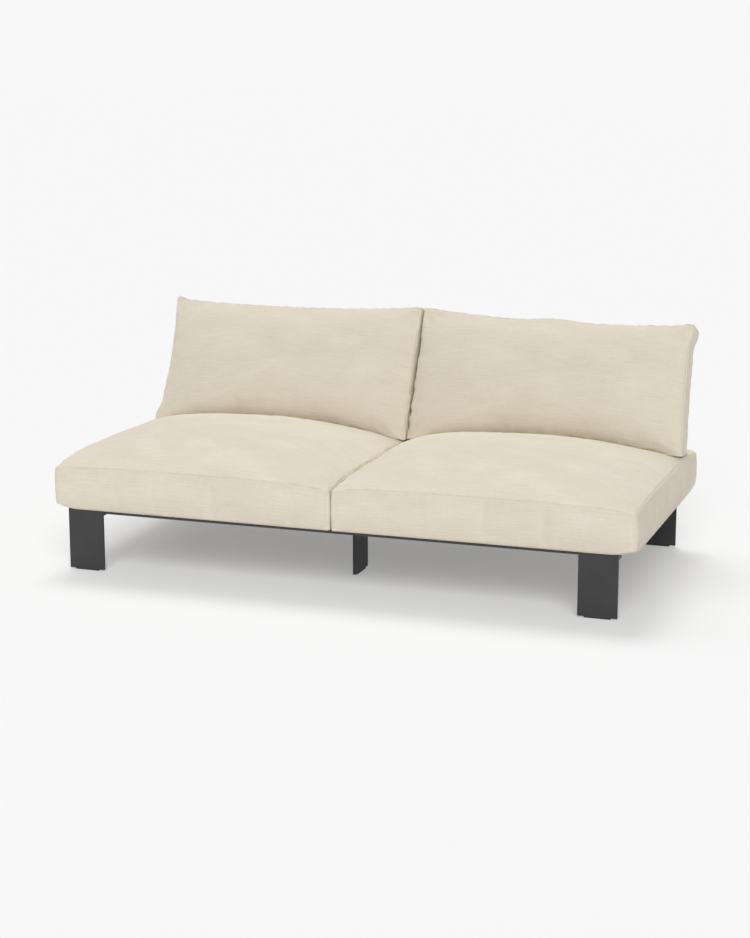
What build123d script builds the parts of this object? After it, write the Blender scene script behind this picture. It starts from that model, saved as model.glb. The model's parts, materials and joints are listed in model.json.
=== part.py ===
from build123d import *
import os
from math import cos, radians, sin, sqrt

os.makedirs("parts", exist_ok=True)

# Outdoor sofa for two: a low flat-bar deck on plate legs, two loose seat cushions and two
# loose back cushions that lean on a backrest hidden behind them. Millimetres, X along the
# length, +Y to the back, Z up, with the origin on the floor under the middle of the sofa.

# Deck of flat bars
frame_length = 1696
deck_depth = 900
deck_height = 188
bar = 8
rail_width = 60
slat_count = 12
slat_width = 50

# Two box beams under the slats
beam_width = 40
beam_height = 30
beam_wall = 2.5
beam_setback = 256
beam_end_inset = 20
cap_flange = 3
cap_plug_length = 15
cap_clearance = 0.2

# Plate legs and their glides
leg_width = 114
leg_flange = 43
rear_leg_inset = 37
centre_leg_flange = 70
glide_height = 4
glide_length = 76
peg_diameter = 4
peg_length = 8
peg_spacing = 50
peg_clearance = 0.1

# Bolts and screws
bolt_diameter = 8
bolt_clearance = 0.2
bolt_head_diameter = 16
nut_width = 13
nut_height = 6.5
leg_bolt_spacing = 64
foot_bolt_spacing = 26
centre_bolt_spacing = 46

# Backrest of bent flat bars
back_lean = 24
upright_width = 60
upright_leg_gap = 34
upright_bend_radius = 12
upright_foot_inset = 4
back_rail_width = 60
back_rail_overhang = 80
back_rail_height = 320
riser_gap = 14

# Seat cushions, which hang over the deck's sides and rear
seat_side_overhang = 46
seat_rear_overhang = 15
seat_boxing = 126
seat_crown = 76
seat_crown_flat = 60
seat_bottom_round = 14
seat_corner_radius = 28
seat_outer_draw = 8
seat_inner_draw = 3
seat_front_draw = 4
centre_gap = 4

# Back cushions, which sit on the rear of the seat cushions
back_outer_inset = 14
back_from_rear = 225
back_height = 436
back_boxing = 95
back_front_crown = 55
back_front_flat = 42
back_rear_crown = 55
back_rear_reach = 74
back_corner_radius = 24
back_outer_draw = 10
back_inner_draw = 4
back_top_draw = 18
back_seam_rise = 14
back_base_lift = 6

# Cushion make-up
cover_thickness = 2
core_gap = 0.4
cushion_gap = 0.3
crown_power = 2.5
crown_rounding = 0.6
crown_steps = (0, 0.07, 0.22, 0.45, 0.72, 1)

# Zip in the rear of each seat cushion
zip_length = 640
zip_tape_width = 32
zip_tape_thickness = 1
zip_teeth_width = 6
zip_teeth_height = 1.5
slider_length = 18
slider_width = 12
slider_height = 5
slider_clearance = 0.3
pull_width = 7
pull_length = 28
pull_thickness = 1.5
pull_hole_diameter = 3

# Derived sizes and places
sides = ((-1, "left"), (1, "right"))
lean_sin = sin(radians(back_lean))
lean_cos = cos(radians(back_lean))
seat_width = frame_length / 2 + seat_side_overhang - centre_gap / 2
seat_depth = deck_depth + seat_rear_overhang
seat_base_z = deck_height + cushion_gap
seat_seam_z = seat_base_z + seat_boxing
seat_crown_reach = min(seat_width, seat_depth) / 2 - seat_crown_flat
cushion_x = (seat_width + centre_gap) / 2
back_width = seat_width - back_outer_inset
back_x = cushion_x - back_outer_inset / 2
back_setback = seat_depth - back_from_rear
back_base_height = seat_seam_z + back_seam_rise
back_front_reach = back_height / 2 - back_front_flat
bar_underside = deck_height - bar
beam_underside = bar_underside - beam_height
rail_offset = back_boxing + back_rear_crown + cushion_gap
upright_offset = rail_offset + bar + bar / 2
upright_top = back_rail_height + back_rail_width / 2
overall_depth = back_setback + upright_top * lean_sin + (upright_offset + bar / 2) * lean_cos
front_y = -overall_depth / 2
rear_edge_y = front_y + deck_depth
rear_leg_y = rear_edge_y - rear_leg_inset - bar
beam_places = ((front_y + beam_setback, "front"), (rear_edge_y - beam_setback, "rear"))
inner_length = frame_length - 2 * rail_width
inner_depth = deck_depth - 2 * rail_width
deck_middle_y = front_y + deck_depth / 2
side_rail_x = (frame_length - rail_width) / 2
slat_pitch = inner_length / slat_count
corner_leg_x = (frame_length - leg_width) / 2
corner_legs = [
    (side * corner_leg_x, leg_y, f"{place}_{side_name}")
    for leg_y, place in ((front_y, "front"), (rear_leg_y, "rear"))
    for side, side_name in sides
]
leg_bolt_offset_y = (bar + leg_flange) / 2
leg_bolt_places = [
    (leg_x + step * leg_bolt_spacing / 2, leg_y + leg_bolt_offset_y)
    for leg_x, leg_y, place in corner_legs
    for step in (-1, 1)
]
outer_upright_x = frame_length / 2 - leg_width - upright_leg_gap - upright_width / 2
inner_upright_x = 2 * cushion_x - outer_upright_x
upright_places = [
    (side * upright_x, f"{place}_{side_name}")
    for side, side_name in sides
    for upright_x, place in ((inner_upright_x, "inner"), (outer_upright_x, "outer"))
]
foot_bolt_y = rear_edge_y - rail_width / 2
foot_bolt_places = [
    (upright_x, foot_bolt_y + step * foot_bolt_spacing / 2)
    for upright_x, place in upright_places
    for step in (-1, 1)
]
bolt_radius = bolt_diameter / 2
bolt_hole_radius = bolt_radius + bolt_clearance
bolt_head_radius = bolt_head_diameter / 2
bolt_head_height = bolt_head_radius - bolt_radius
back_rail_length = 2 * (outer_upright_x + back_rail_overhang)
seat_middle_y = front_y + seat_depth / 2
seat_rear_y = front_y + seat_depth
leaning = Plane(
    origin=(0, front_y + back_setback, back_base_height),
    x_dir=(1, 0, 0),
    z_dir=(0, -lean_cos, lean_sin),
)
down = (Align.CENTER, Align.CENTER, Align.MAX)
up = (Align.CENTER, Align.CENTER, Align.MIN)


def save(builder, name):
    """Label a finished piece and write it."""
    builder.part.label = name
    export_step(builder.part, f"parts/{name}.step")


def flat_bar(name, x, y, length_x, length_y, holes=()):
    """A flat bar in the deck, with countersunk bolt holes from above."""
    with BuildPart() as bar_part:
        with Locations((x, y, deck_height)):
            Box(length_x, length_y, bar, align=down)
        if holes:
            with Locations(*[(hole_x, hole_y, deck_height) for hole_x, hole_y in holes]):
                CounterSinkHole(bolt_hole_radius, bolt_head_radius + bolt_clearance, depth=bar)
    save(bar_part, name)


def pegged_holes(x, y, along):
    """Blind holes for a glide's two pegs, in the lower edge of a leg plate."""
    step = Vector(*along) * (peg_spacing / 2)
    middle = Vector(x, y, glide_height)
    with Locations(middle - step, middle + step):
        Cylinder(peg_diameter / 2 + peg_clearance, peg_length + peg_clearance, align=up, mode=Mode.SUBTRACT)


def glide(name, x, y, along):
    """A plastic glide strip with two pegs that plug into its leg."""
    step = Vector(*along) * (peg_spacing / 2)
    size_x, size_y = (glide_length, bar) if along[0] else (bar, glide_length)
    middle = Vector(x, y, glide_height)
    with BuildPart() as strip:
        with Locations((x, y, 0)):
            Box(size_x, size_y, glide_height, align=up)
        with Locations(middle - step, middle + step):
            Cylinder(peg_diameter / 2, peg_length, align=up)
    save(strip, name)


def bolt(x, y, grip):
    """A countersunk bolt from the deck's top face down through the grip, with its nut."""
    with Locations((x, y, deck_height)):
        Cone(bolt_radius, bolt_head_radius, bolt_head_height, align=down)
        Cylinder(bolt_radius, grip + nut_height, align=down)
    with BuildSketch(Plane.XY.offset(deck_height - grip)) as hexagon:
        with Locations((x, y)):
            RegularPolygon(nut_width / 2, 6, major_radius=False)
    extrude(hexagon.sketch, amount=-nut_height)


def drawn_side(start, end, inward, draw):
    """One side of a cushion's outline, drawn in between its corners."""
    start, end = Vector(*start), Vector(*end)
    if draw:
        ThreePointArc(start, (start + end) / 2 + Vector(*inward) * draw, end)
    else:
        Line(start, end)


def outline(width, height, inset, radius, left_draw, right_draw, low_draw, high_draw):
    """A cushion's outline: rounded corners, and sides drawn in between them."""
    x, y = width / 2 - inset, height / 2 - inset
    near = radius * (1 - sqrt(0.5))
    with BuildLine() as edge:
        drawn_side((radius - x, -y), (x - radius, -y), (0, 1), low_draw)
        ThreePointArc((x - radius, -y), (x - near, near - y), (x, radius - y))
        drawn_side((x, radius - y), (x, y - radius), (-1, 0), right_draw)
        ThreePointArc((x, y - radius), (x - near, y - near), (x - radius, y))
        drawn_side((x - radius, y), (radius - x, y), (0, -1), high_draw)
        ThreePointArc((radius - x, y), (near - x, y - near), (-x, y - radius))
        drawn_side((-x, y - radius), (-x, radius - y), (1, 0), left_draw)
        ThreePointArc((-x, radius - y), (near - x, near - y), (radius - x, -y))
    make_face(edge.edges())


def crown(seam, width, height, rise, reach, radius, draws):
    """The swell of one panel, from its seam up to where the panel levels out."""
    levels = []
    for step in crown_steps:
        inset = step * reach
        room = min(width, height) / 2 - inset - radius
        with BuildSketch(seam.offset(rise * (1 - (1 - step) ** crown_power))) as level:
            outline(width, height, inset, radius + crown_rounding * step * room, *draws)
        levels.append(level.sketch)
    loft(levels)


def left_and_right(side, inner, outer):
    """A cushion's inner and outer draws, as its left and right ones."""
    return (inner, outer) if side > 0 else (outer, inner)


def seat_form(side, shrink):
    """A seat cushion's shape, or the same shape shrunk inwards all round."""
    width, depth = seat_width - 2 * shrink, seat_depth - 2 * shrink
    draws = (*left_and_right(side, seat_inner_draw, seat_outer_draw), seat_front_draw, 0)
    base = Plane(origin=(side * cushion_x, seat_middle_y, seat_base_z + shrink))
    with BuildPart() as form:
        with BuildSketch(base):
            outline(width, depth, seat_bottom_round, seat_corner_radius, *draws)
        with BuildSketch(base.offset(seat_bottom_round)):
            outline(width, depth, 0, seat_corner_radius, *draws)
        loft()
        boxing = seat_boxing - seat_bottom_round - 2 * shrink
        with BuildSketch(base.offset(seat_bottom_round)):
            outline(width, depth, 0, seat_corner_radius, *draws)
        extrude(amount=boxing)
        seam = base.offset(seat_bottom_round + boxing)
        crown(seam, width, depth, seat_crown, seat_crown_reach - shrink, seat_corner_radius, draws)
    return form.part


def back_form(side, shrink):
    """A back cushion's shape, flattened on the backrest and on the seat below it."""
    width, height = back_width - 2 * shrink, back_height - 2 * shrink
    front = Plane(
        origin=leaning.from_local_coords(Vector(side * back_x, back_height / 2, -shrink)),
        x_dir=leaning.x_dir,
        z_dir=leaning.z_dir,
    )
    draws = (*left_and_right(side, back_inner_draw, back_outer_draw), 0, back_top_draw)
    rear_draws = (*left_and_right(-side, back_inner_draw, back_outer_draw), 0, back_top_draw)
    boxing = back_boxing - 2 * shrink
    rear = front.offset(-boxing)
    flipped = Plane(origin=rear.origin, x_dir=(-1, 0, 0), z_dir=-rear.z_dir)
    rest_z = seat_seam_z + back_base_lift + shrink
    seat = seat_form(side, 0).moved(Location((0, 0, cushion_gap + shrink)))
    with BuildPart() as form:
        with BuildSketch(rear):
            outline(width, height, 0, back_corner_radius, *draws)
        extrude(amount=boxing)
        crown(front, width, height, back_front_crown, back_front_reach - shrink, back_corner_radius, draws)
        crown(flipped, width, height, back_rear_crown, back_rear_reach, back_corner_radius, rear_draws)
        with Locations((side * cushion_x, seat_middle_y, rest_z)):
            Box(2 * seat_width, 2 * seat_depth, rest_z, align=down, mode=Mode.SUBTRACT)
        add(seat, mode=Mode.SUBTRACT)
    return form.part


# Front and rear rails, with the bolt holes for the legs and the backrest
front_holes = [place for place in leg_bolt_places if place[1] < deck_middle_y]
rear_holes = [place for place in leg_bolt_places if place[1] > deck_middle_y] + foot_bolt_places
flat_bar("front_rail", 0, front_y + rail_width / 2, frame_length, rail_width, front_holes)
flat_bar("rear_rail", 0, rear_edge_y - rail_width / 2, frame_length, rail_width, rear_holes)

# Side rails and slats, welded between the front and rear rails
for side, side_name in sides:
    flat_bar(f"{side_name}_side_rail", side * side_rail_x, deck_middle_y, rail_width, inner_depth)
for index in range(slat_count):
    slat_x = -inner_length / 2 + (index + 0.5) * slat_pitch
    flat_bar(f"slat_{index + 1:02d}", slat_x, deck_middle_y, slat_width, inner_depth)

# Box beams under the slats
beam_length = frame_length - 2 * beam_end_inset
for beam_y, place in beam_places:
    with BuildPart() as beam:
        with BuildSketch(Plane.YZ.offset(-beam_length / 2)):
            with Locations((beam_y, bar_underside - beam_height / 2)):
                Rectangle(beam_width, beam_height)
                Rectangle(beam_width - 2 * beam_wall, beam_height - 2 * beam_wall, mode=Mode.SUBTRACT)
        extrude(amount=beam_length)
        if place == "front":
            with Locations(*[(step * centre_bolt_spacing / 2, beam_y, beam_underside) for step in (-1, 1)]):
                Cylinder(bolt_hole_radius, beam_wall, align=up, mode=Mode.SUBTRACT)
    save(beam, f"{place}_beam")

# Plastic caps that close the beams' ends
with BuildPart() as beam_caps:
    for beam_y, place in beam_places:
        for side, side_name in sides:
            cap_face = Plane(
                origin=(side * beam_length / 2, beam_y, bar_underside - beam_height / 2),
                x_dir=(0, 1, 0),
                z_dir=(side, 0, 0),
            )
            with BuildSketch(cap_face):
                Rectangle(beam_width, beam_height)
            extrude(amount=cap_flange)
            with BuildSketch(cap_face):
                inner = 2 * (beam_wall + cap_clearance)
                Rectangle(beam_width - inner, beam_height - inner)
            extrude(amount=-cap_plug_length)
save(beam_caps, "beam_end_caps")

# Corner legs: a plate bent to a flange that bolts up under the rail
for leg_x, leg_y, place in corner_legs:
    with BuildPart() as leg:
        with Locations((leg_x, leg_y + bar / 2, glide_height)):
            Box(leg_width, bar, bar_underside - glide_height, align=up)
        with Locations((leg_x, leg_y + leg_flange / 2, bar_underside)):
            Box(leg_width, leg_flange, bar, align=down)
        with Locations(*[(leg_x + step * leg_bolt_spacing / 2, leg_y + leg_bolt_offset_y, bar_underside)
                         for step in (-1, 1)]):
            Cylinder(bolt_hole_radius, bar, align=down, mode=Mode.SUBTRACT)
        pegged_holes(leg_x, leg_y + bar / 2, (1, 0, 0))
    save(leg, f"{place}_leg")
    glide(f"{place}_glide", leg_x, leg_y + bar / 2, (1, 0, 0))

# Middle leg, turned edge on to the front, under the front beam
centre_y = front_y + beam_setback
centre_bolt_places = [(step * centre_bolt_spacing / 2, centre_y) for step in (-1, 1)]
with BuildPart() as centre_leg:
    with Locations((0, centre_y, glide_height)):
        Box(bar, leg_width, beam_underside - glide_height, align=up)
    with Locations((0, centre_y, beam_underside)):
        Box(centre_leg_flange, leg_width, bar, align=down)
    with Locations(*[(x, y, beam_underside) for x, y in centre_bolt_places]):
        Cylinder(bolt_hole_radius, bar, align=down, mode=Mode.SUBTRACT)
    pegged_holes(0, centre_y, (0, 1, 0))
save(centre_leg, "centre_leg")
glide("centre_glide", 0, centre_y, (0, 1, 0))

# Bolts of the legs and of the backrest's feet, each with its nut
with BuildPart() as leg_bolts:
    for bolt_x, bolt_y in leg_bolt_places:
        bolt(bolt_x, bolt_y, 2 * bar)
save(leg_bolts, "leg_bolts")
with BuildPart() as foot_bolts:
    for bolt_x, bolt_y in foot_bolt_places:
        bolt(bolt_x, bolt_y, 2 * bar)
save(foot_bolts, "backrest_foot_bolts")

# Bolts of the middle leg: heads below its flange, nuts inside the beam
with BuildPart() as centre_bolts:
    with Locations(*[(x, y, beam_underside - bar - nut_height) for x, y in centre_bolt_places]):
        Cylinder(bolt_radius, nut_height + bar + beam_wall + nut_height, align=up)
    for level in (beam_underside - bar - nut_height, beam_underside + beam_wall):
        with BuildSketch(Plane.XY.offset(level)):
            with Locations(*centre_bolt_places):
                RegularPolygon(nut_width / 2, 6, major_radius=False)
        extrude(amount=nut_height)
save(centre_bolts, "centre_leg_bolts")

# Backrest uprights: foot under the rear rail, riser behind the seat, top leaning back
foot_y = rear_edge_y - rail_width + upright_foot_inset
foot_z = bar_underside - bar / 2
riser_y = seat_rear_y + riser_gap + bar / 2
bend_v = (riser_y - leaning.origin.Y - upright_offset * lean_cos) / lean_sin
bend_z = back_base_height + bend_v * lean_cos - upright_offset * lean_sin
top_y = leaning.origin.Y + upright_top * lean_sin + upright_offset * lean_cos
top_z = back_base_height + upright_top * lean_cos - upright_offset * lean_sin
rail_face = leaning.offset(-rail_offset)
for upright_x, place in upright_places:
    route = [(upright_x, foot_y, foot_z), (upright_x, riser_y, foot_z),
             (upright_x, riser_y, bend_z), (upright_x, top_y, top_z)]
    with BuildPart() as upright:
        with BuildLine() as bent:
            FilletPolyline(*route, radius=upright_bend_radius)
        with BuildSketch(Plane(origin=route[0], x_dir=(1, 0, 0), z_dir=(0, 1, 0))):
            Rectangle(upright_width, bar)
        sweep(path=bent.wires()[0])
        with Locations(*[(x, y, bar_underside) for x, y in foot_bolt_places if x == upright_x]):
            Cylinder(bolt_hole_radius, bar, align=down, mode=Mode.SUBTRACT)
        with BuildSketch(rail_face):
            with Locations((upright_x, back_rail_height)):
                Circle(bolt_hole_radius)
        extrude(amount=-2 * bar, mode=Mode.SUBTRACT)
    save(upright, f"{place}_upright")

# Back rail across the uprights, which the back cushions lean on
with BuildPart() as back_rail:
    with BuildSketch(rail_face):
        with Locations((0, back_rail_height)):
            Rectangle(back_rail_length, back_rail_width)
    extrude(amount=-bar)
    with Locations(*[rail_face.location * Location((x, back_rail_height, 0)) for x, place in upright_places]):
        CounterSinkHole(bolt_hole_radius, bolt_head_radius + bolt_clearance, depth=bar)
save(back_rail, "back_rail")

# Screws that hold the back rail to the uprights
with BuildPart() as rail_bolts:
    for upright_x, place in upright_places:
        with Locations(rail_face.location * Location((upright_x, back_rail_height, 0))):
            Cone(bolt_radius, bolt_head_radius, bolt_head_height, align=down)
            Cylinder(bolt_radius, 2 * bar + nut_height, align=down)
        with BuildSketch(rail_face.offset(-2 * bar)):
            with Locations((upright_x, back_rail_height)):
                RegularPolygon(nut_width / 2, 6, major_radius=False)
        extrude(amount=-nut_height)
save(rail_bolts, "back_rail_bolts")

# Cushions: a sewn cover round a foam core
for side, side_name in sides:
    for form, kind in ((seat_form, "seat"), (back_form, "back")):
        outer = form(side, 0)
        hollow = form(side, cover_thickness)
        with BuildPart() as cover:
            add(outer)
            add(hollow, mode=Mode.SUBTRACT)
        save(cover, f"{kind}_cover_{side_name}")
        with BuildPart() as core:
            add(form(side, cover_thickness + core_gap))
        save(core, f"{kind}_core_{side_name}")

# Zip along the rear boxing of each seat cushion, and its slider with a pull
zip_z = seat_base_z + seat_boxing / 2
teeth_y = seat_rear_y + zip_tape_thickness
for side, side_name in sides:
    zip_x = side * cushion_x
    slider_x = zip_x - (zip_length - slider_length) / 2
    with BuildPart() as tape:
        with Locations((zip_x, seat_rear_y + zip_tape_thickness / 2, zip_z)):
            Box(zip_length, zip_tape_thickness, zip_tape_width)
        with Locations((zip_x, teeth_y + zip_teeth_height / 2, zip_z)):
            Box(zip_length, zip_teeth_height, zip_teeth_width)
    save(tape, f"zip_tape_{side_name}")
    body_y = teeth_y + slider_clearance
    groove_height = zip_teeth_height
    groove_width = zip_teeth_width + 2 * slider_clearance
    with BuildPart() as slider:
        with Locations((slider_x, body_y + slider_height / 2, zip_z)):
            Box(slider_length, slider_height, slider_width)
        with Locations((slider_x, body_y + groove_height / 2, zip_z)):
            Box(slider_length, groove_height, groove_width, mode=Mode.SUBTRACT)
        pull_y = body_y + slider_height
        pull_z = zip_z + slider_width / 4
        with BuildSketch(Plane(origin=(slider_x, pull_y, pull_z), x_dir=(1, 0, 0), z_dir=(0, 1, 0))):
            with Locations((0, pull_length / 2)):
                SlotOverall(pull_length, pull_width, rotation=90)
            with Locations((0, pull_length - pull_width / 2)):
                Circle(pull_hole_diameter / 2, mode=Mode.SUBTRACT)
        extrude(amount=pull_thickness)
    save(slider, f"zip_slider_{side_name}")
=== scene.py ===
import json
import math
from dataclasses import dataclass

import bpy
import numpy as np
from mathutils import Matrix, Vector, noise

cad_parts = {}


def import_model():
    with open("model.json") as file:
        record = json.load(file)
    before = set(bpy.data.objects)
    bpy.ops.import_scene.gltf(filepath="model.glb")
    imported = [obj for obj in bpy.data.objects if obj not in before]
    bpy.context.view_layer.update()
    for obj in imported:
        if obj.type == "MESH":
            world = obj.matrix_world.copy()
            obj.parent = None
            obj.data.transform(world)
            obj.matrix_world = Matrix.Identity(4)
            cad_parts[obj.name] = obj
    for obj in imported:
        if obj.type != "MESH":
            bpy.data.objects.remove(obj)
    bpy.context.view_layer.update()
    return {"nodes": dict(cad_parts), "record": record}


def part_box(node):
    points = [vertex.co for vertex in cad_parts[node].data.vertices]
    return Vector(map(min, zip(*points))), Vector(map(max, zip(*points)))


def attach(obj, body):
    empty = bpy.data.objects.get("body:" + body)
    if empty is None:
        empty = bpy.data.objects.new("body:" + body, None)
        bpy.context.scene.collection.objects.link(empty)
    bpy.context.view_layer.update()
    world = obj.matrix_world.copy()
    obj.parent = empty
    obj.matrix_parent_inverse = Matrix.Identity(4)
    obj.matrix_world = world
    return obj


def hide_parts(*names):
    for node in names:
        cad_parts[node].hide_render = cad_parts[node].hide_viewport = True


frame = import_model()

# Camera at the photograph's viewing angle
CAMERA_PLACE = (1.965, -5.779, 1.615)
CAMERA_PITCH = math.radians(12.44)
CAMERA_YAW = math.radians(19.09)
CAMERA_LENS = 76.98
CAMERA_SENSOR = 36

# Stage and light
FLOOR_SIZE = 90
FLOOR_COLOUR = (0.975, 0.975, 0.975)
BACKDROP_COLOUR = (0.939, 0.939, 0.939)
FLOOR_GLOW = 0.29
WORLD_STRENGTH = 0.27
LAMPS = {
    "front": {"strength": 1.74, "spread": 40, "tilt": 50, "turn": 20},
    "left": {"strength": 0.36, "spread": 30, "tilt": 44, "turn": -120},
    "rear": {"strength": 1.13, "spread": 24, "tilt": 33, "turn": -158},
}

# Colours between which each finish varies, dark and light
FINISHES = {
    "cover_fabric": ((0.66, 0.583, 0.455), (0.86, 0.80, 0.69)),
    "powder_coat": ((0.030, 0.030, 0.031), (0.048, 0.048, 0.049)),
    "black_plastic": ((0.012, 0.012, 0.012), (0.030, 0.030, 0.030)),
    "dark_steel": ((0.055, 0.055, 0.058), (0.15, 0.15, 0.155)),
    "zip_tape": ((0.56, 0.50, 0.39), (0.74, 0.68, 0.56)),
    "zip_metal": ((0.26, 0.25, 0.23), (0.46, 0.45, 0.42)),
}
NOISE_ROUGHNESS = 0.55

# Mesh rows beside a seam, the steps of the mesh elsewhere, and the weave's move from panel to panel
EDGE_ROWS = (0, 0.0012, 0.0030, 0.0058, 0.0105, 0.0175, 0.0275, 0.0400)
PANEL_STEP = 0.0128
BOXING_STEPS = 8
BOTTOM_STEPS = 6
WEAVE_APART = 2

# Seat cushions, measured from the underside
SEAT_SEAM = 0.134
SEAT_SEAM_DROP = 0.013
SEAT_SEAM_DROP_POWER = 4
SEAT_REAR_DROP = {"left": 0.034, "right": 0.008}
SEAT_REAR_DROP_POWER = 2
SEAT_ARCH = {"left": 0.014, "right": 0.0}
SEAT_ARCH_POWER = 6
SEAT_ARCH_REAR_POWER = 0.8
SEAT_CROWN = 0.063
SEAT_FRONT_FULLNESS = 3.6
SEAT_FULLNESS = {"left": 3.0, "right": 2.2}
SEAT_SINK = {"left": 0.017, "right": 0.025}
SEAT_SINK_PLACE = 0.62
SEAT_SINK_WIDTH = 0.16
SEAT_SINK_POWER = 7
SEAT_ROLL = 0.007
SEAT_ROLL_REACH = 0.010
SEAT_TUCK = 0.002
SEAT_BOTTOM_ROUND = 0.006
SEAT_LIFT = 0.010
SEAT_LIFT_REACH = 0.032
SEAT_ROUND_OUTER = 0.016
SEAT_ROUND_INNER = 0.006
SEAT_REACH_OUTER = {"left": -0.002, "right": 0.004}
SEAT_REACH_FRONT = 0.010
SEAT_DRAW_OUTER = {"left": 0.006, "right": 0.0}
SEAT_DRAW_INNER = 0.001
SEAT_DRAW_FRONT = 0.003
SEAT_BULGE = 0.002
SEAT_CREASE = 0.0022
UNDER_BACK = 0.030
UNDER_BACK_AHEAD = 0.008
SEAT_SEED = 11

# Back cushions, on a plane that leans back from the front seam of their foot
BACK_LEAN = math.radians(24)
BACK_FROM_REAR = 0.225
BACK_FOOT = 0.140
BACK_HEIGHT = 0.439
BACK_BOXING = 0.095
BACK_CROWN = 0.041
BACK_FOOT_FULLNESS = 4
BACK_OVERHANG = 0.014
BACK_OVERHANG_REACH = 0.014
BACK_OVERHANG_FADE = 0.055
BACK_OVERHANG_POWER = 6
BACK_ROLL = 0.010
BACK_ROLL_REACH = 0.011
BACK_TUCK = 0.002
BACK_REAR_CROWN = 0.074
BACK_REAR_FLAT = 0.054
BACK_DRAW_INNER = 0.002
BACK_BULGE = 0.001
BACK_DIP = 0.016
BACK_DIP_REACH = 0.050
BACK_ROUND_INNER = 0.006
BACK_TOE_WIDTH = 0.05
BACK_CREASE = 0.0045
BACK_REST = 0.0012
BACK_DRAW_TOP = {"left": 0.018, "right": 0.023}
BACK_DRAW_TOP_POWER = 2.2
BACK_DRAW_OUTER = {"left": 0.013, "right": 0.004}
BACK_INSET = {"left": 0.004, "right": -0.003}
BACK_SPLAY = {"left": 0.002, "right": 0.008}
BACK_TOE = {"left": 0.009, "right": 0.0}
BACK_ROUND_OUTER = {"left": 0.014, "right": 0.007}
BACK_EAR_IN = {"left": 0.013, "right": 0.006}
BACK_EAR_UP = {"left": 0.009, "right": 0.003}
BACK_EAR_OUT = {"left": 0.0, "right": 0.011}
BACK_EAR_WIDTH = {"left": 0.015, "right": 0.045}
BACK_DROOP = {"left": 0.007, "right": 0.016}
BACK_DROOP_POWER = 2
BACK_CREST = {"left": 0.0, "right": 0.010}
BACK_CREST_WIDTH = 0.2
BACK_FOOT_ROUNDS = 4
BACK_SEED = 31

# Both kinds of cushion: how a panel fades to its seams, and how near counts as lying on something
CROWN_POWER = 2.5
DRAW_POWER = 2
END_POWER = 3
TOUCH = 0.001

# Sewing and filling, and the painted shade along the seams
SEAM_DEPTH = 0.0027
SEAM_REACH = 0.0024
SEAM_PAINTED_SHADE_WIDTH = 0.0018
SEAM_PAINTED_SHADE = 0.83
SEAM_ROOM = 0.012
FACING_ROOM = 0.012
PUCKERS = (
    {"depth": 0.0012, "reach": 0.016, "wave": 0.032},
    {"depth": 0.0008, "reach": 0.008, "wave": 0.013},
)
GATHER = 4.0
GATHER_REACH = 0.03
PRESSED_REACH = 0.02
PRESSED_SHARE = 0.7
SWELL_DEPTH = 0.0085
SWELL_WAVE = 0.19
SWELL_REACH = 0.030
SEED_SHIFT = Vector((7.3, 3.1, 5.7))
CREASE_TURNS = (20, 47, 71)
CREASE_STRAY = 8
CREASE_STRAY_BY_CORNER = 3.1
CREASE_STRAY_BY_FOLD = 1.7
CREASE_WIDTH = 9
CREASE_REACH = 0.038
CLOTH_PRESSURE = 4
CLOTH_BENDING = 0.6
CLOTH_SLACK = 0.012
CLOTH_CAP = 0.012
CLOTH_FRAMES = 15
CLOTH_QUALITY = 4

# Zip coil: where it starts in the tape's thickness, its teeth, how much darker the teeth are than the tape,
# and the painted shade in the gaps between them
ZIP_COIL_FROM = 0.45
ZIP_TEETH_SCALE = 100
ZIP_GAP_PAINTED_SHADE = 0.35
ZIP_TOOTH_SHADE = 0.62

SIDES = (("left", -1), ("right", 1))


# Materials

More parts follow.
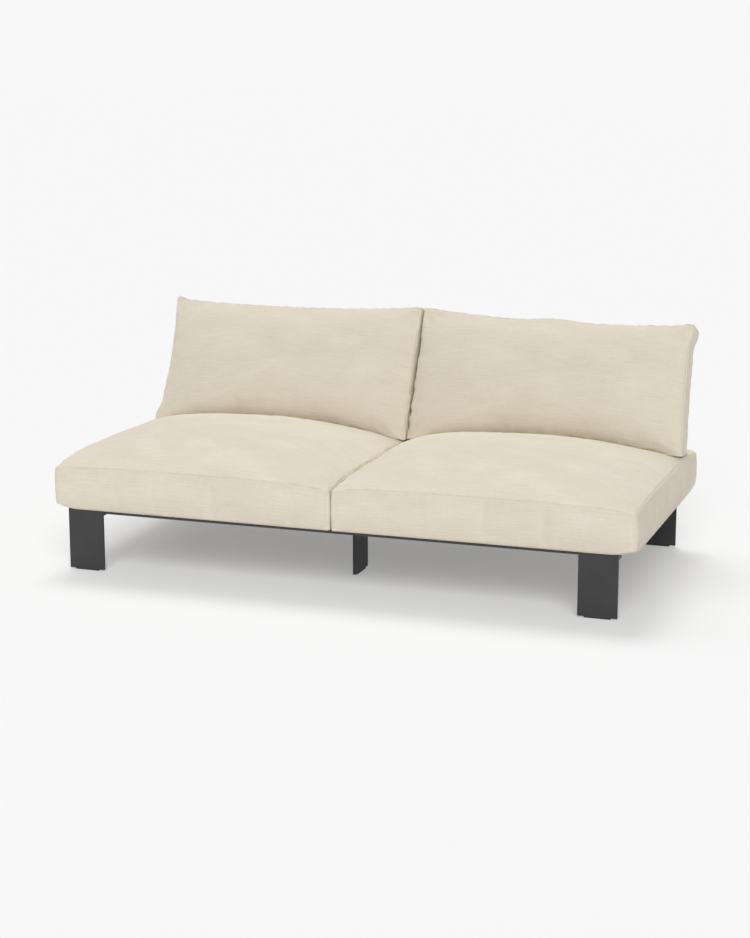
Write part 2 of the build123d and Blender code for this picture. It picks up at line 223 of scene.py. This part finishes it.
class Shader:
    """A node material with one Principled shader, and short ways to add and join nodes."""

    def __init__(self, name, **sockets):
        self.material = bpy.data.materials.new(name)
        self.material.use_nodes = True
        self.tree = self.material.node_tree
        self.surface = self.tree.nodes["Principled BSDF"]
        for socket, value in sockets.items():
            self.surface.inputs[socket.replace("_", " ")].default_value = value

    def add(self, kind, **settings):
        node = self.tree.nodes.new(kind)
        for name, value in settings.items():
            setattr(node, name, value)
        return node

    def join(self, output, socket):
        self.tree.links.new(output, socket)

    def noise(self, vector, stretch, detail=2):
        """Noise from 0 to 1 on the given coordinates, stretched by cycles per metre."""
        mapping = self.add("ShaderNodeMapping")
        mapping.inputs["Scale"].default_value = stretch
        self.join(vector, mapping.inputs["Vector"])
        texture = self.add("ShaderNodeTexNoise")
        texture.inputs["Scale"].default_value = 1
        texture.inputs["Detail"].default_value = detail
        texture.inputs["Roughness"].default_value = NOISE_ROUGHNESS
        self.join(mapping.outputs["Vector"], texture.inputs["Vector"])
        return texture.outputs["Fac"]

    def weigh(self, parts, middle=0.5):
        """The sum of each part's distance from its middle, times its weight, about a new middle."""
        total = None
        for output, weight in parts:
            term = self.add("ShaderNodeMath", operation="MULTIPLY_ADD")
            self.join(output, term.inputs[0])
            term.inputs[1].default_value = weight
            term.inputs[2].default_value = -0.5 * weight
            if total is None:
                term.inputs[2].default_value += middle
            else:
                joined = self.add("ShaderNodeMath", operation="ADD")
                self.join(total, joined.inputs[0])
                self.join(term.outputs[0], joined.inputs[1])
                term = joined
            total = term.outputs[0]
        return total

    def blend(self, factor, low, high, shade=None):
        """Base colour from low to high, darkened by a shade where one is given."""
        mix = self.add("ShaderNodeMix", data_type="RGBA")
        self.join(factor, mix.inputs["Factor"])
        mix.inputs["A"].default_value = (*low, 1)
        mix.inputs["B"].default_value = (*high, 1)
        colour = mix.outputs["Result"]
        if shade:
            scale = self.add("ShaderNodeVectorMath", operation="SCALE")
            self.join(colour, scale.inputs["Vector"])
            self.join(shade, scale.inputs["Scale"])
            colour = scale.outputs["Vector"]
        self.join(colour, self.surface.inputs["Base Color"])

    def bump(self, height, strength, distance):
        bump = self.add("ShaderNodeBump")
        bump.inputs["Strength"].default_value = strength
        bump.inputs["Distance"].default_value = distance
        self.join(height, bump.inputs["Height"])
        self.join(bump.outputs["Normal"], self.surface.inputs["Normal"])


def fabric():
    """Slubby linen-like weave that follows each panel of the cover, with painted shade along its seams."""
    cloth = Shader("cover_fabric", Roughness=0.92, Specular_IOR_Level=0.2,
                   Sheen_Weight=0.12, Sheen_Roughness=0.5)
    uv = cloth.add("ShaderNodeUVMap", uv_map="weave").outputs["UV"]
    slub = cloth.noise(uv, (13, 300, 1), detail=3)
    thread = cloth.noise(uv, (90, 1100, 1))
    cross = cloth.noise(uv, (620, 22, 1))
    patch = cloth.noise(uv, (5, 11, 1), detail=3)
    tone = cloth.weigh([(slub, 0.8), (thread, 0.5), (cross, 0.35), (patch, 0.65)], middle=0.55)
    # Painted shade along the seams: the cover's colour darkens towards each seam, where the stitching sinks
    # in
    seam_painted_shade = cloth.add("ShaderNodeMapRange", interpolation_type="SMOOTHSTEP")
    seam_painted_shade.inputs["From Max"].default_value = SEAM_PAINTED_SHADE_WIDTH
    seam_painted_shade.inputs["To Min"].default_value = SEAM_PAINTED_SHADE
    seam = cloth.add("ShaderNodeAttribute", attribute_name="seam")
    cloth.join(seam.outputs["Fac"], seam_painted_shade.inputs["Value"])
    cloth.blend(tone, *FINISHES["cover_fabric"], seam_painted_shade.outputs["Result"])
    height = cloth.weigh([(slub, 0.8), (thread, 1.0), (cross, 0.8)])
    cloth.bump(height, strength=0.5, distance=0.0008)
    return cloth.material


def powder_coat():
    """Charcoal powder coat with a fine grain."""
    coat = Shader("powder_coat", Roughness=0.52, Specular_IOR_Level=0.4)
    place = coat.add("ShaderNodeTexCoord").outputs["Object"]
    grain = coat.noise(place, (1500, 1500, 1500))
    patch = coat.noise(place, (14, 14, 14), detail=3)
    coat.blend(coat.weigh([(grain, 0.8), (patch, 0.9)]), *FINISHES["powder_coat"])
    coat.bump(grain, strength=0.35, distance=0.0003)
    return coat.material


def moulded_plastic():
    """Black moulded plastic of the glides and end caps."""
    plastic = Shader("black_plastic", Roughness=0.6)
    place = plastic.add("ShaderNodeTexCoord").outputs["Object"]
    grain = plastic.noise(place, (900, 900, 900))
    scuff = plastic.noise(place, (60, 60, 240), detail=3)
    plastic.blend(plastic.weigh([(grain, 0.5), (scuff, 0.9)]), *FINISHES["black_plastic"])
    plastic.bump(grain, strength=0.25, distance=0.0002)
    return plastic.material


def blackened_steel():
    """Dark plated steel of the bolts and nuts."""
    steel = Shader("dark_steel", Roughness=0.38, Metallic=1.0)
    place = steel.add("ShaderNodeTexCoord").outputs["Object"]
    patch = steel.noise(place, (160, 160, 160), detail=3)
    turned = steel.noise(place, (900, 900, 2600))
    steel.blend(steel.weigh([(patch, 0.8), (turned, 0.6)]), *FINISHES["dark_steel"])
    steel.bump(turned, strength=0.2, distance=0.0002)
    return steel.material


def zip_weave():
    """Woven zip tape in the colour of the cover, with a darker toothed coil where it stands proud, and
    painted shade in the gaps between its teeth.
    """
    tape = Shader("zip_tape", Roughness=0.85, Sheen_Weight=0.1)
    coordinates = tape.add("ShaderNodeTexCoord")
    place = coordinates.outputs["Object"]
    rib = tape.noise(place, (1400, 400, 120))
    patch = tape.noise(place, (30, 30, 30))
    split = tape.add("ShaderNodeSeparateXYZ")
    tape.join(coordinates.outputs["Generated"], split.inputs[0])
    coil = tape.add("ShaderNodeMath", operation="GREATER_THAN")
    tape.join(split.outputs["Y"], coil.inputs[0])
    coil.inputs[1].default_value = ZIP_COIL_FROM
    teeth = tape.add("ShaderNodeTexWave", bands_direction="X")
    teeth.inputs["Scale"].default_value = ZIP_TEETH_SCALE
    tape.join(place, teeth.inputs["Vector"])
    # Painted shade between the coil's teeth: the wave takes the coil's colour down between a tooth's tone and
    # a darker gap's
    gap_painted_shade = tape.add("ShaderNodeMapRange")
    gap_painted_shade.inputs["To Min"].default_value = ZIP_GAP_PAINTED_SHADE
    gap_painted_shade.inputs["To Max"].default_value = ZIP_TOOTH_SHADE
    tape.join(teeth.outputs["Fac"], gap_painted_shade.inputs["Value"])
    shade = tape.add("ShaderNodeMix")
    shade.inputs["A"].default_value = 1
    tape.join(coil.outputs[0], shade.inputs["Factor"])
    tape.join(gap_painted_shade.outputs["Result"], shade.inputs["B"])
    tape.blend(tape.weigh([(rib, 0.9), (patch, 0.5)]), *FINISHES["zip_tape"], shade.outputs["Result"])
    tape.bump(rib, strength=0.4, distance=0.0004)
    return tape.material


def zip_metal():
    """Worn nickel of the zip slider."""
    metal = Shader("zip_metal", Roughness=0.34, Metallic=1.0)
    place = metal.add("ShaderNodeTexCoord").outputs["Object"]
    scratch = metal.noise(place, (300, 2200, 2200), detail=3)
    patch = metal.noise(place, (220, 220, 220))
    metal.blend(metal.weigh([(scratch, 0.7), (patch, 0.6)]), *FINISHES["zip_metal"])
    metal.bump(scratch, strength=0.15, distance=0.0002)
    return metal.material


MATERIALS = {
    "powder_coat": powder_coat(),
    "cover_fabric": fabric(),
    "black_plastic": moulded_plastic(),
    "dark_steel": blackened_steel(),
    "zip_tape": zip_weave(),
    "zip_metal": zip_metal(),
}


# Cushion shapes

def rows_between_seams(half):
    """Places from one seam to the other, close together beside both."""
    steps = round((half - EDGE_ROWS[-1]) / PANEL_STEP)
    depth = np.concatenate([EDGE_ROWS[:-1], np.linspace(EDGE_ROWS[-1], half, steps + 1)])
    return np.concatenate([depth - half, half - depth[-2::-1]])


def fade(share, power=CROWN_POWER):
    """One in the middle of a panel and none at its seams."""
    return 1 - np.abs(share) ** power


def at_end(share):
    """One on the seam at the end of a panel, and soon none inside it."""
    return np.clip(share, 0, 1) ** END_POWER


def rounded(half_a, half_b, a, b, radius):
    """Places on a panel moved so that its corners are round."""
    u = np.clip(1 - (half_a - np.abs(a)) / radius, 0, 1)
    w = np.clip(1 - (half_b - np.abs(b)) / radius, 0, 1)
    inward_a = radius * u * (1 - np.sqrt(1 - w**2 / 2))
    inward_b = radius * w * (1 - np.sqrt(1 - u**2 / 2))
    return a - np.sign(a) * inward_a, b - np.sign(b) * inward_b


def hump(place, width):
    """One at nought, fading to both sides."""
    return np.exp(-((place / width) ** 2))


def corner_reach(half_a, half_b, a, b, reach):
    """One at a panel's corners, fading over the reach."""
    return np.exp(-((half_a - np.abs(a)) ** 2 + (half_b - np.abs(b)) ** 2) / reach**2)


def roll(half_a, half_b, a, b, reach):
    """A soft roll beside the seams: none on them, one well inside."""
    return (1 - np.exp(-(half_a - np.abs(a)) / reach)) * (1 - np.exp(-(half_b - np.abs(b)) / reach))


def corner_creases(half_a, half_b, a, b, depth):
    """Shallow folds that fan out from each corner of a panel."""
    side, end = half_a - np.abs(a), half_b - np.abs(b)
    corner = (a > 0) + 2 * (b > 0)
    away, turn = np.hypot(side, end) / CREASE_REACH, np.degrees(np.arctan2(end, side))
    folds = np.zeros(len(a))
    for number, middle in enumerate(CREASE_TURNS):
        stray = np.sin(CREASE_STRAY_BY_CORNER * corner + CREASE_STRAY_BY_FOLD * number + 1)
        bend = middle + CREASE_STRAY * stray
        folds += hump(turn - bend, CREASE_WIDTH)
    return -depth * folds * away * np.exp(1 - away)


@dataclass
class Cover:
    """A sewn cover's mesh, in the cushion's own frame, and each point's distance from the nearest seam."""
    points: np.ndarray
    faces: np.ndarray
    weave: np.ndarray
    seam: np.ndarray


def sewn_cover(half_a, half_b, top, bottom, boxing):
    """Two panels joined by a boxing strip.

    top and bottom give a panel's points from places across and along it, and boxing gives the strip's rows as
    pairs of an outward move and a share of the way from the top seam to the bottom one.
    """
    across, along = rows_between_seams(half_a), rows_between_seams(half_b)
    a, b = (grid.ravel() for grid in np.meshgrid(across, along, indexing="ij"))
    grid = np.arange(len(a)).reshape(len(across), len(along))
    border = np.concatenate([grid[:-1, 0], grid[-1, :-1], grid[:0:-1, -1], grid[0, :0:-1]])
    upper, lower = top(a, b), bottom(a, b)

    ring = len(border)
    ahead = np.roll(np.arange(ring), -1)
    run = np.roll(upper[border], -2, 0) - np.roll(upper[border], 2, 0)
    outward = np.stack([run[:, 1], -run[:, 0], np.zeros(ring)], 1)
    outward /= np.linalg.norm(outward, axis=1)[:, None]
    strip = [upper[border] * (1 - share) + lower[border] * share + outward * move for move, share in boxing]
    points = np.concatenate([upper, *strip, lower])
    base = len(a) + ring * len(strip)
    loops = [border, *(len(a) + ring * row + np.arange(ring) for row in range(len(strip))), base + border]

    gap = np.minimum(half_a - np.abs(a), half_b - np.abs(b))
    height = np.linalg.norm(upper[border] - lower[border], axis=1).mean()
    strip_gap = [np.full(ring, min(share, 1 - share) * height) for _, share in boxing]
    seam = np.concatenate([gap, *strip_gap, gap])

    squares = np.stack([grid[:-1, :-1], grid[1:, :-1], grid[1:, 1:], grid[:-1, 1:]], -1).reshape(-1, 4)
    plan = np.stack([a, b], 1)
    faces, weave = [squares, base + squares[:, ::-1]], [plan[squares], plan[squares[:, ::-1]] + WEAVE_APART]
    length = np.concatenate([[0], np.cumsum(np.linalg.norm(upper[border][ahead] - upper[border], axis=1))])
    drop = np.array([0, *(share for _, share in boxing), 1]) * height
    for row, (above, below) in enumerate(zip(loops, loops[1:])):
        faces.append(np.stack([above, below, below[ahead], above[ahead]], 1))
        near, far = length[:-1], length[1:]
        high, low = (np.full(ring, -WEAVE_APART - drop[row + step]) for step in (0, 1))
        corners = [(near, high), (near, low), (far, low), (far, high)]
        weave.append(np.stack([np.stack(corner, 1) for corner in corners], 1))
    return Cover(points, np.concatenate(faces), np.concatenate(weave), seam)


def boxing_rows(height, bulge, tuck, reach, bottom_round):
    """Rows of a boxing strip, as an outward move and a share of the way down.

    The strip starts from seams that are tucked in. With a bottom round it turns under instead of meeting a
    second tucked seam.
    """
    upright = height - bottom_round
    places = [*EDGE_ROWS[1:-2], *np.linspace(EDGE_ROWS[-2], upright - EDGE_ROWS[-2], BOXING_STEPS)]
    if not bottom_round:
        places += [upright - gap for gap in EDGE_ROWS[-3:0:-1]]
    rows = []
    for place in places:
        share = place / height
        move = tuck * (1 - math.exp(-place / reach)) + bulge * math.sin(math.pi * share)
        if bottom_round:
            move += (bottom_round - tuck) * share
        else:
            move -= tuck * math.exp(-(height - place) / reach)
        rows.append((move, share))
    for step in range(BOTTOM_STEPS if bottom_round else 0):
        turn = math.pi / 2 * (step + 0.5) / BOTTOM_STEPS
        share = (upright + bottom_round * math.sin(turn)) / height
        move = tuck + bottom_round * (math.cos(turn) - 1) + (bottom_round - tuck) * share
        rows.append((move + bulge * math.sin(math.pi * share), share))
    return rows


# Cushion pieces

def read_points(mesh):
    flat = np.empty(len(mesh.vertices) * 3, np.float32)
    mesh.vertices.foreach_get("co", flat)
    return flat.reshape(-1, 3)


def write_points(mesh, points):
    mesh.vertices.foreach_set("co", np.asarray(points, np.float32).ravel())
    mesh.update()


def normals_of(mesh):
    flat = np.empty(len(mesh.vertices) * 3, np.float32)
    mesh.vertex_normals.foreach_get("vector", flat)
    return flat.reshape(-1, 3)


def keep(mesh, name, values):
    mesh.attributes.new(name, "FLOAT", "POINT").data.foreach_set("value", np.asarray(values, np.float32))


def kept(mesh, name):
    flat = np.empty(len(mesh.vertices), np.float32)
    mesh.attributes[name].data.foreach_get("value", flat)
    return flat


def push(mesh, distance):
    """Moves each point of a mesh along its normal."""
    write_points(mesh, read_points(mesh) + normals_of(mesh) * distance[:, None])


def swell(points, wave, seed):
    """Smooth noise about nought at each point."""
    shift = SEED_SHIFT * seed
    return np.array([noise.noise(Vector(point) / wave + shift) for point in points])


def inflate(piece, held):
    """Fills a slack cover by a short cloth simulation, and keeps each point near where it was drawn."""
    scene = bpy.context.scene
    start = read_points(piece.data)
    group = piece.vertex_groups.new(name="held")
    group.add(np.flatnonzero(held).tolist(), 1.0, "REPLACE")
    cloth = piece.modifiers.new("cloth", "CLOTH")
    settings = cloth.settings
    settings.quality = CLOTH_QUALITY
    settings.vertex_group_mass = "held"
    settings.use_pressure = True
    settings.uniform_pressure_force = CLOTH_PRESSURE
    settings.shrink_min = -CLOTH_SLACK
    settings.bending_stiffness = CLOTH_BENDING
    settings.effector_weights.gravity = 0
    cloth.point_cache.frame_end = CLOTH_FRAMES
    for number in range(1, CLOTH_FRAMES + 1):
        scene.frame_set(number)
    moved = read_points(piece.evaluated_get(bpy.context.evaluated_depsgraph_get()).data)
    piece.modifiers.remove(cloth)
    piece.vertex_groups.remove(group)
    scene.frame_set(1)
    move = moved - start
    length = np.linalg.norm(move, axis=1)[:, None]
    write_points(piece.data, start + move * CLOTH_CAP / (CLOTH_CAP + length))


def refine(piece):
    """Subdivides a piece's mesh once and keeps the result."""
    smooth = piece.modifiers.new("subdivision", "SUBSURF")
    smooth.levels = 1
    coarse = piece.data
    piece.data = bpy.data.meshes.new_from_object(piece.evaluated_get(bpy.context.evaluated_depsgraph_get()))
    piece.modifiers.remove(smooth)
    bpy.data.meshes.remove(coarse)


def cushion(name, cover, place, resting, pressed, seed):
    """A sewn cushion: placed, filled, and puckered along its seams, most where it meets another one.

    resting tells, from 0 to 1, how far each point lies on something, and pressed how near it is to the seat
    that it stands on.
    """
    mesh = bpy.data.meshes.new(name)
    placed = place(cover.points)
    mesh.from_pydata(placed.tolist(), [], cover.faces.tolist())
    mesh.uv_layers.new(name="weave").data.foreach_set("uv", cover.weave.astype(np.float32).ravel())
    faces_other = np.abs(placed[:, 0]) < FACING_ROOM
    rests = np.maximum(resting(cover, placed), faces_other & (cover.seam > SEAM_ROOM))
    meets = np.maximum(np.exp(-np.abs(placed[:, 0]) / GATHER_REACH), PRESSED_SHARE * pressed(placed))
    keep(mesh, "seam", cover.seam)
    keep(mesh, "rest", rests)
    keep(mesh, "gather", 1 + GATHER * meets)
    piece = bpy.data.objects.new(name, mesh)
    bpy.context.collection.objects.link(piece)

    inside = 1 - np.exp(-cover.seam / SWELL_REACH)
    push(mesh, SWELL_DEPTH * inside * (1 - rests) * swell(placed, SWELL_WAVE, seed))
    inflate(piece, (cover.seam < EDGE_ROWS[1] / 2) | (rests > 0.5))
    refine(piece)

    mesh = piece.data
    points, seam, gather = read_points(mesh), kept(mesh, "seam"), kept(mesh, "gather")
    sewing = -SEAM_DEPTH * hump(seam, SEAM_REACH)
    for number, pucker in enumerate(PUCKERS, 1):
        near = np.exp(-seam / pucker["reach"])
        sewing += pucker["depth"] * gather * near * swell(points, pucker["wave"], seed + number)
    push(mesh, sewing * (1 - kept(mesh, "rest")))
    mesh.polygons.foreach_set("use_smooth", np.ones(len(mesh.polygons), bool))
    mesh.materials.append(MATERIALS["cover_fabric"])
    return piece


def seat_height(name, side, s, t):
    """Height of a seat's top above its underside, sunk below the back, and without the roll at its seams."""
    seam = SEAT_SEAM - SEAT_SEAM_DROP * (s * t) ** SEAT_SEAM_DROP_POWER
    seam -= SEAT_REAR_DROP[name] * np.clip(t, 0, 1) ** SEAT_REAR_DROP_POWER
    arch = fade(t, np.where(t < 0, SEAT_ARCH_POWER, SEAT_ARCH_REAR_POWER))
    seam += SEAT_ARCH[name] * arch * np.clip(s * side, 0, 1) ** SEAT_ARCH_POWER
    across = fade(s, np.where(s * side > 0, SEAT_FULLNESS[name], CROWN_POWER))
    along = fade(t, np.where(t < 0, SEAT_FRONT_FULLNESS, CROWN_POWER))
    sunk = SEAT_SINK[name] * hump(t - SEAT_SINK_PLACE, SEAT_SINK_WIDTH) * fade(s, SEAT_SINK_POWER)
    return seam + SEAT_CROWN * across * along - sunk


def seat_cushion(name, side):
    low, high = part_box(f"seat_cover_{name}")
    half_a, half_b = (high.x - low.x) / 2 - SEAT_TUCK, (high.y - low.y) / 2 - SEAT_TUCK
    centre = np.array([(low.x + high.x) / 2, (low.y + high.y) / 2, low.z])

    def outline(a, b):
        s, t = a / half_a, b / half_b
        outer, inner = at_end(s * side), at_end(-s * side)
        radius = np.where(s * side > 0, SEAT_ROUND_OUTER, SEAT_ROUND_INNER)
        x, y = rounded(half_a, half_b, a, b, radius)
        x += side * (SEAT_REACH_OUTER[name] - SEAT_DRAW_OUTER[name] * fade(t, DRAW_POWER)) * outer
        x += side * SEAT_DRAW_INNER * fade(t, DRAW_POWER) * inner
        y -= (SEAT_REACH_FRONT - SEAT_DRAW_FRONT * fade(s, DRAW_POWER)) * at_end(-t)
        return x, y, s, t

    def top(a, b):
        x, y, s, t = outline(a, b)
        z = seat_height(name, side, s, t) + SEAT_ROLL * roll(half_a, half_b, a, b, SEAT_ROLL_REACH)
        z += corner_creases(half_a, half_b, a, b, SEAT_CREASE)
        return np.stack([x, y, z], 1)

    def bottom(a, b):
        x, y, s, _ = outline(a, b)
        inset = SEAT_BOTTOM_ROUND - SEAT_TUCK
        lift = SEAT_LIFT * corner_reach(half_a, half_b, a, b, SEAT_LIFT_REACH) * (s * side > 0)
        return np.stack([x * (1 - inset / half_a), y * (1 - inset / half_b), lift], 1)

    def place(points):
        return points + centre

    def resting(cover, placed):
        on_deck = cover.points[:, 2] < TOUCH
        on_zip = (cover.points[:, 1] > half_b - EDGE_ROWS[1]) & (cover.seam > SEAM_ROOM)
        under_back = np.clip((placed[:, 1] - high.y + BACK_FROM_REAR + UNDER_BACK_AHEAD) / UNDER_BACK, 0, 1)
        on_top = cover.points[:, 2] > SEAT_SEAM - SEAT_SEAM_DROP - SEAT_REAR_DROP[name] - TOUCH
        return np.maximum(on_deck | on_zip, under_back * on_top * np.clip(cover.seam / SEAM_ROOM - 1, 0, 1))

    def pressed(placed):
        return np.zeros(len(placed))

    rows = boxing_rows(SEAT_SEAM, SEAT_BULGE, SEAT_TUCK, SEAT_ROLL_REACH, SEAT_BOTTOM_ROUND)
    cover = sewn_cover(half_a, half_b, top, bottom, rows)
    cover.points[:, 1] = np.minimum(cover.points[:, 1], half_b + SEAT_TUCK)
    piece = cushion(f"seat_cushion_{name}", cover, place, resting, pressed, SEAT_SEED + side)
    filled = read_points(piece.data)
    filled[:, 2] = np.maximum(filled[:, 2], low.z)
    write_points(piece.data, filled)
    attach(piece, f"seat_cushion_{name}")
    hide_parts(f"seat_cover_{name}", f"seat_core_{name}")


def back_cushion(name, side):
    low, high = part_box(f"back_cover_{name}")
    seat_low, seat_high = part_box(f"seat_cover_{name}")
    seat_half, seat_middle = (seat_high - seat_low) / 2, (seat_high + seat_low) / 2
    half_a, half_b = (high.x - low.x) / 2 - BACK_TUCK, BACK_HEIGHT / 2 - BACK_TUCK
    foot = np.array([(low.x + high.x) / 2, seat_high.y - BACK_FROM_REAR, seat_low.z + BACK_FOOT])
    up = np.array([0, math.sin(BACK_LEAN), math.cos(BACK_LEAN)])
    ahead = np.array([0, -math.cos(BACK_LEAN), math.sin(BACK_LEAN)])

    def seat_below(placed):
        s = np.clip((placed[:, 0] - seat_middle.x) / seat_half.x, -1, 1)
        t = np.clip((placed[:, 1] - seat_middle.y) / seat_half.y, -1, 1)
        return seat_low.z + seat_height(name, side, s, t) + SEAT_ROLL + BACK_REST

    def foot_rise(x):
        """How far up its leaning plane the foot's front seam has to be to stand on the seat."""
        rise = np.zeros(len(x))
        for _ in range(BACK_FOOT_ROUNDS):
            stood = foot + np.stack([x, rise * up[1], 0 * x], 1)
            rise = np.maximum(seat_below(stood) - foot[2], 0) / up[2]
        return rise

    def outline(a, b):
        s, t = a / half_a, b / half_b
        outer, inner = at_end(s * side), at_end(-s * side)
        radius = np.where(s * side > 0, BACK_ROUND_OUTER[name], BACK_ROUND_INNER)
        x, y = rounded(half_a, half_b, a, b, radius)
        inward = BACK_INSET[name] + BACK_DRAW_OUTER[name] * fade(t, DRAW_POWER) + BACK_SPLAY[name] * t
        x -= side * inward * outer
        x += side * BACK_DRAW_INNER * fade(t, DRAW_POWER) * inner
        top_edge = BACK_DRAW_TOP[name] * fade(s, BACK_DRAW_TOP_POWER)
        top_edge += BACK_DROOP[name] * ((1 + s * side) / 2) ** BACK_DROOP_POWER
        top_edge -= BACK_CREST[name] * hump(s, BACK_CREST_WIDTH)
        top_edge -= BACK_EAR_UP[name] * hump(half_a - a * side - BACK_EAR_IN[name], BACK_EAR_WIDTH[name])
        y += foot_rise(x) * (1 - t) / 2 - top_edge * at_end(t)
        y -= BACK_DIP * hump(half_a + a * side, BACK_DIP_REACH) * at_end(-t)
        x += side * BACK_EAR_OUT[name] * hump(half_b - b - BACK_EAR_IN[name], BACK_EAR_WIDTH[name]) * outer
        x += side * BACK_TOE[name] * hump((half_b + b) ** 2, BACK_TOE_WIDTH**2) * outer
        return x, y, s, t

    def front(a, b):
        x, y, s, t = outline(a, b)
        along = fade(t, np.where(t < 0, BACK_FOOT_FULLNESS, CROWN_POWER))
        z = BACK_CROWN * fade(s) * along + BACK_ROLL * roll(half_a, half_b, a, b, BACK_ROLL_REACH)
        above = half_b + b
        overhang = BACK_OVERHANG * fade(s, BACK_OVERHANG_POWER) * (1 - np.exp(-above / BACK_OVERHANG_REACH))
        z += overhang * hump(above, BACK_OVERHANG_FADE)
        z += corner_creases(half_a, half_b, a, b, BACK_CREASE)
        return np.stack([x, y, z], 1)

    def rear(a, b):
        x, y, s, t = outline(a, b)
        z = np.minimum(BACK_REAR_CROWN * fade(s) * fade(t), BACK_REAR_FLAT)
        return np.stack([x, y, -BACK_BOXING - z], 1)

    def place(points):
        across, along, out = points[:, :1], points[:, 1:2] + BACK_HEIGHT / 2, points[:, 2:]
        placed = foot + across * (1, 0, 0) + along * up + out * ahead
        placed[:, 2] = np.maximum(placed[:, 2], seat_below(placed))
        return placed

    def resting(cover, placed):
        on_rail = cover.points[:, 2] < -BACK_BOXING - BACK_REAR_FLAT + TOUCH
        on_seat = placed[:, 2] < seat_below(placed) + TOUCH
        return np.where(on_rail | on_seat, 1.0, 0.0)

    def pressed(placed):
        return np.exp(-(placed[:, 2] - seat_below(placed)) / PRESSED_REACH)

    rows = boxing_rows(BACK_BOXING, BACK_BULGE, BACK_TUCK, BACK_ROLL_REACH, 0)
    cover = sewn_cover(half_a, half_b, front, rear, rows)
    piece = cushion(f"back_cushion_{name}", cover, place, resting, pressed, BACK_SEED + side)
    filled = read_points(piece.data)
    past_rail = np.maximum((foot - filled) @ ahead - BACK_BOXING - BACK_REAR_FLAT, 0)
    write_points(piece.data, filled + past_rail[:, None] * ahead)
    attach(piece, f"back_cushion_{name}")
    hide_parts(f"back_cover_{name}", f"back_core_{name}")


for side_name, side in SIDES:
    seat_cushion(side_name, side)
    back_cushion(side_name, side)


# Finishes of the frame, glides, fasteners and zips

def finish_node(node, slot):
    piece = frame["nodes"][node]
    material = MATERIALS.get(slot)
    if material is None:
        return
    piece.data.materials.clear()
    piece.data.materials.append(material)


for subpart in frame["record"]["subparts"]:
    finish_node(subpart["node"], subpart["material_slot"])


# Stage, light and camera

def looked_at(tree):
    """One where the camera, a reflection or a view through something clear looks, and otherwise nought."""
    path = tree.nodes.new("ShaderNodeLightPath")
    seen = path.outputs["Is Camera Ray"]
    for kind in ("Is Glossy Ray", "Is Transmission Ray"):
        either = tree.nodes.new("ShaderNodeMath")
        either.operation = "MAXIMUM"
        tree.links.new(seen, either.inputs[0])
        tree.links.new(path.outputs[kind], either.inputs[1])
        seen = either.outputs[0]
    return seen


def floor():
    """A pale floor, whose shadow is lightened a little where it is looked at."""
    stone = Shader("floor", Roughness=1.0, Specular_IOR_Level=0.0)
    stone.surface.inputs["Base Color"].default_value = (*FLOOR_COLOUR, 1)
    share = stone.add("ShaderNodeMath", operation="MULTIPLY")
    stone.join(looked_at(stone.tree), share.inputs[0])
    share.inputs[1].default_value = FLOOR_GLOW
    glow = stone.add("ShaderNodeEmission")
    glow.inputs["Color"].default_value = (*BACKDROP_COLOUR, 1)
    mix = stone.add("ShaderNodeMixShader")
    stone.join(share.outputs[0], mix.inputs[0])
    stone.join(stone.surface.outputs[0], mix.inputs[1])
    stone.join(glow.outputs[0], mix.inputs[2])
    stone.join(mix.outputs[0], stone.tree.nodes["Material Output"].inputs["Surface"])
    half = FLOOR_SIZE / 2
    corners = [(-half, -half, 0), (half, -half, 0), (half, half, 0), (-half, half, 0)]
    mesh = bpy.data.meshes.new("floor")
    mesh.from_pydata(corners, [], [(0, 1, 2, 3)])
    mesh.materials.append(stone.material)
    piece = bpy.data.objects.new("floor", mesh)
    bpy.context.collection.objects.link(piece)


def world():
    """Even light all round, with the pale backdrop that the camera and reflections see."""
    sky = bpy.data.worlds.new("studio")
    bpy.context.scene.world = sky
    sky.use_nodes = True
    tree = sky.node_tree
    tree.nodes.clear()
    light = tree.nodes.new("ShaderNodeBackground")
    light.inputs["Strength"].default_value = WORLD_STRENGTH
    backdrop = tree.nodes.new("ShaderNodeBackground")
    backdrop.inputs["Color"].default_value = (*BACKDROP_COLOUR, 1)
    pick = tree.nodes.new("ShaderNodeMixShader")
    out = tree.nodes.new("ShaderNodeOutputWorld")
    tree.links.new(looked_at(tree), pick.inputs[0])
    tree.links.new(light.outputs[0], pick.inputs[1])
    tree.links.new(backdrop.outputs[0], pick.inputs[2])
    tree.links.new(pick.outputs[0], out.inputs["Surface"])


def lamp(name, strength, spread, tilt, turn):
    """A wide soft lamp far off. Tilt is from overhead and turn is about the upright, in degrees."""
    light = bpy.data.lights.new(name, "SUN")
    light.energy = strength
    light.angle = math.radians(spread)
    piece = bpy.data.objects.new(name, light)
    piece.rotation_euler = (math.radians(tilt), 0, math.radians(turn))
    bpy.context.collection.objects.link(piece)


def camera():
    lens = bpy.data.cameras.new("camera")
    lens.lens = CAMERA_LENS
    lens.sensor_width = CAMERA_SENSOR
    piece = bpy.data.objects.new("camera", lens)
    piece.location = CAMERA_PLACE
    piece.rotation_euler = (math.pi / 2 - CAMERA_PITCH, 0, CAMERA_YAW)
    bpy.context.collection.objects.link(piece)
    bpy.context.scene.camera = piece


floor()
world()
for lamp_name, values in LAMPS.items():
    lamp(lamp_name, **values)
camera()
bpy.context.scene.view_settings.view_transform = "Standard"
